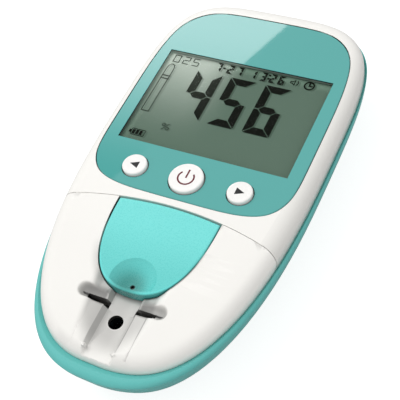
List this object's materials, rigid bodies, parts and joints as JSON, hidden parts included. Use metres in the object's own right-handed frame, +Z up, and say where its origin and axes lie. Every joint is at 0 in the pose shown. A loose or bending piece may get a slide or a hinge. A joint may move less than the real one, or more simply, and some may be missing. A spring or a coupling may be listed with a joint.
{
  "type": "glycated hemoglobin meter",
  "caption": "Handheld blood test meter: tapered body with display, round keys, hinged cover flap over a strip channel in the nose, and a battery door below.",
  "frame": {"origin": "under the middle of the meter's outline, on the plane that its rubber feet stand on", "axes": "+X to the right of someone who reads the display, +Y from the nose to the display end, +Z up out of the display"},
  "size_m": [0.0718, 0.1368, 0.0261],
  "materials": {
    "shell_teal": "moulded ABS, satin gloss",
    "case_white": "moulded ABS, satin gloss",
    "flap_turquoise": "moulded ABS, gloss",
    "panel_teal": "high gloss overlay",
    "window_clear": "clear polycarbonate",
    "lcd_glass": "grey-green liquid crystal display",
    "reflector_foil": "satin",
    "frame_white": "matte",
    "connector_rubber": "striped elastomer",
    "board_green": "solder mask over glass fibre",
    "chip_black": "matte",
    "switch_metal": "tin plated",
    "steel": "zinc plated",
    "block_black": "matte, light tight",
    "optic_glass": "clear",
    "emitter_clear": "epoxy",
    "ribbon_tan": "polyimide film",
    "cell_jacket": "plain printed jacket",
    "contact_metal": "nickel plated",
    "foot_rubber": "matte",
    "button_white": "moulded ABS, gloss"
  },
  "bodies": {
    "housing": {"lower_shell": "shell_teal", "upper_case": "case_white", "front_housing": "case_white", "flap_pin": "steel", "display_panel": "panel_teal", "display_window": "window_clear", "lcd_cell": "lcd_glass", "lcd_reflector": "reflector_foil", "lcd_frame": "frame_white", "lcd_connectors": "connector_rubber", "main_board": "board_green", "board_chips": "chip_black", "key_switches": "switch_metal", "buzzer": "chip_black", "case_screws": "steel", "board_screws": "steel", "optic_screws": "steel", "optical_block": "block_black", "optic_window": "optic_glass", "optical_board": "board_green", "optic_emitters": "emitter_clear", "ribbon_cable": "ribbon_tan", "batteries": "cell_jacket", "plate_contacts": "contact_metal", "spring_contacts": "contact_metal", "rubber_feet": "foot_rubber"},
    "left_button": {"left_button": "button_white"},
    "power_button": {"power_button": "button_white"},
    "right_button": {"right_button": "button_white"},
    "cover_flap": {"cover_flap": "flap_turquoise"},
    "battery_door": {"battery_door": "shell_teal"}
  },
  "joints": [
    {"name": "left_button_press", "type": "slide", "parent": "housing", "child": "left_button", "axis": [0, 0, -1], "range_m": [0, 0.0004], "stiffness_N_per_m": 200, "springref_m": -0.001},
    {"name": "power_button_press", "type": "slide", "parent": "housing", "child": "power_button", "axis": [0, 0, -1], "range_m": [0, 0.0004], "stiffness_N_per_m": 200, "springref_m": -0.001},
    {"name": "right_button_press", "type": "slide", "parent": "housing", "child": "right_button", "axis": [0, 0, -1], "range_m": [0, 0.0004], "stiffness_N_per_m": 200, "springref_m": -0.001},
    {"name": "flap_hinge", "type": "hinge", "parent": "housing", "child": "cover_flap", "pos_m": [0, -0.021, 0.0237], "axis": [-1, 0, 0], "range_deg": [0, 70]},
    {"name": "door_hinge", "type": "hinge", "parent": "housing", "child": "battery_door", "pos_m": [0, 0.00185, 0.0008], "axis": [-1, 0, 0], "range_deg": [0, 90]}
  ]
}
